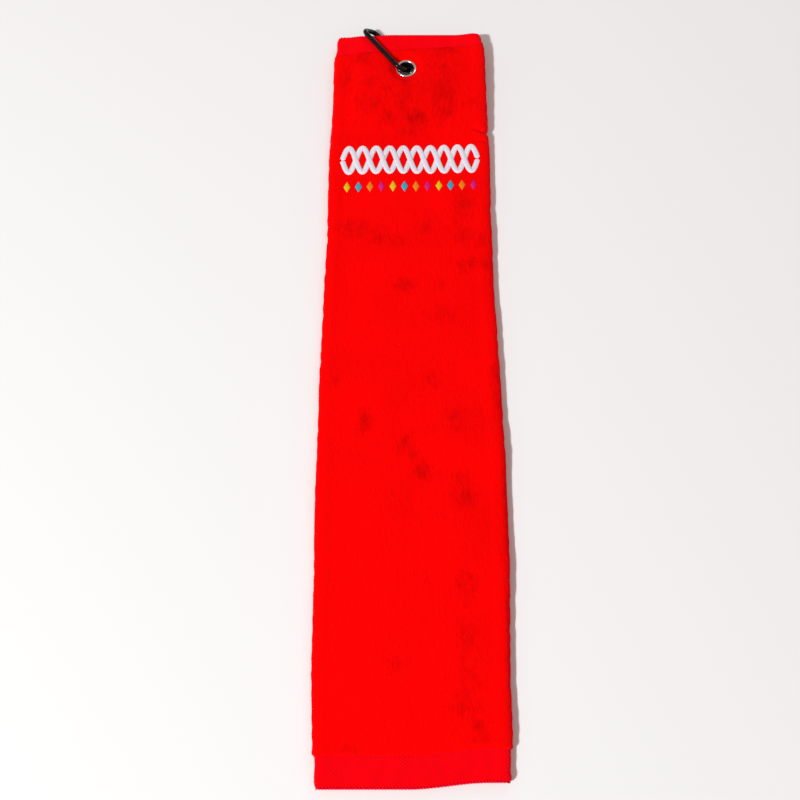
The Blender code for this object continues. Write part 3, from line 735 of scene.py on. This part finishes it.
eyelet = turned("eyelet_rim", [
    (throat, -flange_under), (throat + 0.0004, -curl_top), (throat + 0.0011, -curl_bottom),
    (throat + 0.0020, -curl_bottom), (throat + 0.0020, -curl_top), (barrel + 0.0005, -curl_top),
    (barrel, -flange_top), (barrel, flange_under), (flange - 0.0002, flange_under),
    (flange, flange_under + 0.0002), (flange - 0.0004, flange_top - 0.00012),
    (flange - 0.0011, flange_top), (throat + 0.0009, flange_top),
    (throat + 0.0003, flange_top - 0.0004), (throat, flange_under - 0.0006),
], 0.0003)
washer = turned("eyelet_washer", [
    (washer_hole, -flange_top), (flange - 0.0001, -flange_top), (flange, -flange_top + 0.0001),
    (flange, -flange_under - 0.0001), (flange - 0.0001, -flange_under), (washer_hole, -flange_under),
], 0.00015)


# Handling marks: fine noise and longer scratches over a place, as a height and as a mask
handling_marks, given, result = new_group("handling_marks", {"Place": vector}, ("Height", "Marks"))
grain = noise(given["Place"], 1400.0, 3.0)
scratches = noise(given["Place"], 500.0, 4.0, (1.0, 0.08, 1.0))
feed(result["Height"], math_node("MULTIPLY_ADD", scratches, 0.6, grain))
feed(result["Marks"], math_node("MULTIPLY", math_node("SUBTRACT", scratches, 0.42), 3.0, clamp=True))


def metal_material(name, light, dark, smooth, rough, relief, **values):
    """A hard finish whose gloss and colour vary with the handling marks."""
    material, shader = new_material(name, smooth, **values)
    marks = nodes.new("ShaderNodeGroup")
    marks.node_tree = handling_marks
    links.new(nodes.new("ShaderNodeTexCoord").outputs["Object"], marks.inputs["Place"])
    feed(shader["Base Color"], mix_colours(marks.outputs["Marks"], light, dark))
    feed(shader["Roughness"], math_node("MULTIPLY_ADD", marks.outputs["Marks"], rough - smooth, smooth))
    feed(shader["Normal"], bump(marks.outputs["Height"], relief, 0.25))
    return material, shader


nickel, shader = metal_material(
    "nickel_plate", (0.86, 0.83, 0.76, 1.0), (0.62, 0.58, 0.52, 1.0), 0.14, 0.30, 0.00002, Metallic=1.0
)

# Inside its throat the plating is dull, and painted nearly black as painted shade in the hole
inside_throat = math_node("SUBTRACT", throat + 0.0004, value_of("radius"))
throat_shade = math_node("MULTIPLY", inside_throat, 3000.0, clamp=True)
plated = shader["Base Color"].links[0].from_socket
feed(shader["Base Color"], mix_colours(throat_shade, plated, (0.03, 0.027, 0.025, 1.0)))
worn = shader["Roughness"].links[0].from_socket
feed(shader["Roughness"], math_node("MULTIPLY_ADD", throat_shade, 0.4, worn))
finish_piece(eyelet, nickel, "towel", "nickel", "grommet_eyelet")
finish_piece(washer, nickel, "towel", "nickel", "grommet_washer")

# Carabiner ring. Black anodised aluminium wire, 4 mm thick, bent to a long ring that is open
# on the gate's side. Its two ends are milled to thin tabs, one for the hinge and one to latch.
# It's worked out in its own plane: x from the spine to the gate, y along them.

wire, bend_radius, ring_length, gate_side = 0.002, 0.006, 0.050533, 0.008768
hinge_shoulder, pivot_along, nose_shoulder, latch_along = 0.044033, 0.041733, 0.012, 0.0141
tab_root, tab_side, cam_radius, tab_half_thickness = 0.0012, 0.0017, 0.0019, 0.0007
lean, turned_by = math.radians(45), math.radians(38.5)
turn_cos, turn_sin = math.cos(turned_by), math.sin(turned_by)
ring_x = np.array([math.cos(lean) * turn_cos, math.cos(lean) * turn_sin, -math.sin(lean)])
ring_y = np.array([-turn_sin, turn_cos, 0.0])
ring_z = np.cross(ring_x, ring_y)
ring_start = np.array([grommet.x, grommet.y, grommet_middle])


def from_ring(points):
    """Places points of the ring's own plane in the frame: its start, plus each part along its axis."""
    across, along, out = points[..., :1], points[..., 1:2], points[..., 2:]
    return ring_start + across * ring_x + along * ring_y + out * ring_z


def quarter(x, y, first, steps=16):
    """A quarter bend of the wire round a centre, clockwise from the first angle."""
    angle = np.radians(np.linspace(first, first - 90, steps))
    return np.stack([x + bend_radius * np.cos(angle), y + bend_radius * np.sin(angle), 0 * angle], -1)


inside, far = gate_side - bend_radius, ring_length - bend_radius
ends = np.array([0.0, 0.00012, 0.00035])  # both cut ends have a small chamfer
path = np.concatenate([
    np.stack([gate_side + 0 * ends, nose_shoulder - ends, 0 * ends], -1),
    quarter(inside, bend_radius, 0), quarter(-inside, bend_radius, -90),
    quarter(-inside, far, 180), quarter(inside, far, 90),
    np.stack([gate_side + 0 * ends, hinge_shoulder + ends[::-1], 0 * ends], -1),
])
thick = np.full(len(path), wire)
thick[:3] = thick[:-4:-1] = wire - np.array([0.0004, 0.0001, 0.0])
flat_up = np.broadcast_to(np.array([0.0, 0.0, 1.0]), path.shape)
wire_skin = swept(path[None], flat_up[None], thick[None], thick[None], 32)


def tab_skin(stations):
    """A flat tab: a rectangle carried along y, from stations of y, left x and right x."""
    y, left, right = (np.array(column)[:, None] for column in zip(*stations))
    x = np.concatenate([right, left, left, right], 1)
    z = tab_half_thickness * np.array([1.0, 1.0, -1.0, -1.0])
    return np.stack([gate_side + x, y + 0 * x, z + 0 * x], -1)[None]


cam = np.linspace(math.radians(25), -math.radians(50), 9)
hinge_tab = [
    (hinge_shoulder + tab_root, -tab_side, tab_side), (pivot_along + 0.0009, -tab_side, tab_side),
]
for angle in cam:
    half_across = cam_radius * math.cos(angle)
    hinge_tab.append((pivot_along + cam_radius * math.sin(angle), -half_across, half_across))
latch_tab = [
    (nose_shoulder - tab_root, -tab_side, tab_side), (latch_along - 0.00091, -tab_side, tab_side),
    (latch_along - 0.0009, 0.0009, tab_side), (latch_along + 0.0009, 0.0009, tab_side),
    (latch_along + 0.00091, -tab_side, tab_side), (latch_along + 0.0018, -tab_side, tab_side),
    (latch_along + 0.0020, -0.0015, 0.0015),
]


def joined(name, skins):
    """One mesh of several sets of closed skins."""
    made = [rings_mesh(name, from_ring(skin)) for skin in skins]
    with bpy.context.temp_override(active_object=made[0], selected_editable_objects=made):
        bpy.ops.object.join()
    return made[0]


ring = joined("carabiner_ring", [wire_skin, tab_skin(hinge_tab)[:, :, ::-1], tab_skin(latch_tab)])
ring.data.set_sharp_from_angle(angle=math.radians(35))
black, shader = metal_material(
    "black_anodised", (0.002, 0.002, 0.0022, 1.0), (0.008, 0.008, 0.009, 1.0), 0.12, 0.22, 0.00001,
    Specular_IOR_Level=0.24,
)
finish_piece(ring, black, "carabiner", "black_aluminium", "carabiner_body")

# Gate and its steel parts. The gate is a rod of the same black aluminium, slotted over both
# tabs; a rivet holds it at the hinge and another catches in the ring's notch. A plunger and
# a spring inside the rod press on the hinge tab and keep the gate shut.


def smoothed_copy(node_name, name):
    """The frame's own shape with its loose triangles joined and its round faces smooth."""
    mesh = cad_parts[node_name].data.copy()
    mesh.name = name
    shape = bmesh.new()
    shape.from_mesh(mesh)
    bmesh.ops.remove_doubles(shape, verts=shape.verts, dist=0.00001)
    shape.to_mesh(mesh)
    shape.free()
    mesh.shade_smooth()
    mesh.set_sharp_from_angle(angle=math.radians(35))
    copy = bpy.data.objects.new(name, mesh)
    bpy.context.scene.collection.objects.link(copy)
    return copy


steel, shader = metal_material(
    "spring_steel", (0.52, 0.52, 0.53, 1.0), (0.34, 0.34, 0.35, 1.0), 0.26, 0.42, 0.00002, Metallic=1.0
)
rod = smoothed_copy("carabiner_gate", "gate_rod")
finish_piece(rod, black, "gate", "black_aluminium", "carabiner_gate")
rivets = {"gate_pivot_pin": "carabiner", "gate_latch_pin": "gate", "spring_plunger": "gate"}
for node_name, body in rivets.items():
    part = smoothed_copy(node_name, node_name + "_steel")
    finish_piece(part, steel, body, "spring_steel", node_name)

plunger_foot, bore_end = -0.00495, -0.012  # along the gate from its pivot
coil_radius, coil_wire, coil_turns, coil_play = 0.00074, 0.00016, 7, 0.0003
share = np.linspace(0, 1, coil_turns * 20 + 1)
coil_start = pivot_along + plunger_foot - coil_play - coil_wire
coil_run = bore_end - plunger_foot + 2 * coil_play + 2 * coil_wire
coil_y = coil_start + share * coil_run
coil_turn = math.tau * coil_turns * share
coil_up = np.stack([np.cos(coil_turn), 0 * share, np.sin(coil_turn)], -1)
coil = np.stack([gate_side + 0 * share, coil_y, 0 * share], -1) + coil_radius * coil_up
coil_thick = np.full((1, len(share)), coil_wire)
spring = rings_mesh("gate_coil", from_ring(swept(coil[None], coil_up[None], coil_thick, coil_thick, 8)))
finish_piece(spring, steel, "gate", "spring_steel", "gate_spring")

# Embroidery. Rayon satin stitch over the front: two white strokes that cross in a braid, and
# under it a row of small diamonds in four colours. The work rises a little to the right.

braid_length, braid_height, stroke, braid_waves, braid_along = 0.1096, 0.027, 0.0044, 5, 0.4795
diamond_width, diamond_height, diamond_pitch, diamond_along = 0.0052, 0.0092, 0.0092, 0.4548
rise_rightwards = 0.022
stitch_pitch = 0.00042
satin_corners, satin_lift, satin_height, crossing_lift = 14, 0.0001, 0.0005, 0.0002


def on_front(x, y, above):
    """Points over the front of the towel, at a height above its pile."""
    return laid(x, y + rise_rightwards * x, high + cloth / 2 + above)


def satin_skin(x, y, half_width, lift, thickness):
    """Satin stitch along a line: oval rings, their edges uneven by a stitch's slack."""
    centres = on_front(x, y, lift)
    slack = 1 + 0.05 * np.sin(np.arange(len(x)) * 2.4) + 0.03 * np.sin(np.arange(len(x)) * 5.1)
    up = np.broadcast_to(np.array([0.0, 0.0, 1.0]), centres.shape)
    thick = np.broadcast_to(thickness, (1, len(x)))
    return swept(centres[None], up[None], (half_width * slack)[None], thick, satin_corners)


white_stitch = thread_material(
    "white_stitch", (0.86, 0.85, 0.90, 1.0), (0.50, 0.44, 0.62, 1.0), stitch_pitch, 0.4, 0.35
)
strokes = []
share = np.linspace(0, 1, 700)
for phase in (0.0, math.pi):
    x = braid_length * (share - 0.5)
    angle = math.tau * braid_waves * share + phase
    y = braid_along + (braid_height - stroke) / 2 * np.sin(angle)
    over = crossing_lift * (1 + np.cos(math.tau * braid_waves * share + (0 if phase else math.pi)))
    taper = np.minimum(ease(share / 0.006 + 0.25), ease((1 - share) / 0.006 + 0.25))
    skin = satin_skin(x, y, stroke / 2 * taper, satin_lift + over, satin_height * taper)
    half_braid = rings_mesh("embroidered_stroke", skin)
    run = run_along(np.stack([x, y], -1))
    give_values(half_braid, "run", np.broadcast_to(run[None, :, None], skin.shape[:3]))
    strokes.append(half_braid)
with bpy.context.temp_override(active_object=strokes[0], selected_editable_objects=strokes):
    bpy.ops.object.join()
braid = strokes[0]
braid.name = "embroidered_strokes"
stitched = [finish_piece(braid, white_stitch, "towel", "white_stitch", "embroidered_braid")]

stitch_colours = {
    "yellow_stitch": ((0.84, 0.58, 0.0, 1.0), (0.26, 0.18, 0.0, 1.0)),
    "cyan_stitch": ((0.03, 0.46, 0.64, 1.0), (0.0, 0.08, 0.14, 1.0)),
    "orange_stitch": ((0.88, 0.25, 0.0, 1.0), (0.45, 0.05, 0.0, 1.0)),
    "magenta_stitch": ((0.74, 0.0, 0.22, 1.0), (0.36, 0.0, 0.06, 1.0)),
}
coloured = [
    (name, thread_material(name, light, dark, 0.0006, 0.45, 0.25))
    for name, (light, dark) in stitch_colours.items()
]
diamond_count = 12
share = np.linspace(-1, 1, 41)
for order in range(diamond_count):
    name, material = coloured[order % len(coloured)]
    half_width = diamond_width / 2 * (1 - np.abs(share)) + 0.0002
    x = diamond_pitch * (order - (diamond_count - 1) / 2) + 0 * share
    y = diamond_along + diamond_height / 2 * share
    crown = 0.0001 + 0.0004 * (1 - np.abs(share)) ** 0.5
    skin = satin_skin(x, y, half_width, satin_lift, crown)
    diamond = rings_mesh(f"stitched_diamond_{order + 1:02d}", skin)
    give_values(diamond, "run", np.broadcast_to(y[None, :, None], skin.shape[:3]))
    finish_piece(diamond, material, "towel", name, f"embroidered_diamond_{order + 1:02d}")
    stitched.append(diamond)

# Pale studio floor, one soft key lamp low on the left, a weak lamp over the grommet's end,
# and a camera that looks down the towel from its lower end.

floor_reach, floor_drop = 4.0, 0.0002  # the floor lies just under the pile
corners = np.array([(-1.0, -1.0), (1.0, -1.0), (1.0, 1.0), (-1.0, 1.0)]) * floor_reach
corners = np.column_stack([corners, np.full(4, -floor_drop)])
floor = mesh_from("floor", corners, np.array([[0, 1, 2, 3]]))
paper, shader = new_material("pale_floor", 0.9, Base_Color=(0.80, 0.80, 0.80, 1.0))
floor.data.materials.append(paper)

world = bpy.data.worlds.new("studio")
bpy.context.scene.world = world
world.use_nodes = True
world.node_tree.nodes["Background"].inputs["Color"].default_value = (1.0, 0.82, 0.80, 1.0)
world.node_tree.nodes["Background"].inputs["Strength"].default_value = 0.42


def lamp(name, place, aim, diameter, power, colour=(1.0, 1.0, 1.0)):
    """A round area lamp that faces its aim."""
    light = bpy.data.lights.new(name, "AREA")
    light.shape = "DISK"
    light.size = diameter
    light.energy = power
    light.color = colour
    thing = bpy.data.objects.new(name, light)
    thing.location = place
    thing.rotation_euler = (Vector(aim) - Vector(place)).to_track_quat("-Z", "Y").to_euler()
    bpy.context.scene.collection.objects.link(thing)


lamp("key", (-2.20, -1.78, 2.83), (0.0, 0.0, 0.0), 0.32, 163.0, (0.93, 1.0, 1.0))
lamp("glint", (0.45, 0.75, 0.90), (0.0, 0.25, 0.0), 0.25, 0.8)

lens = bpy.data.cameras.new("camera")
lens.lens = 50.0
lens.sensor_width = 36.0
camera = bpy.data.objects.new("camera", lens)
camera.location = (-0.0082, bottom_y - 0.01665, 0.781)
camera.rotation_euler = (math.radians(20.5), 0.0, 0.0)
bpy.context.scene.collection.objects.link(camera)
bpy.context.scene.camera = camera
bpy.context.scene.view_settings.view_transform = "Standard"
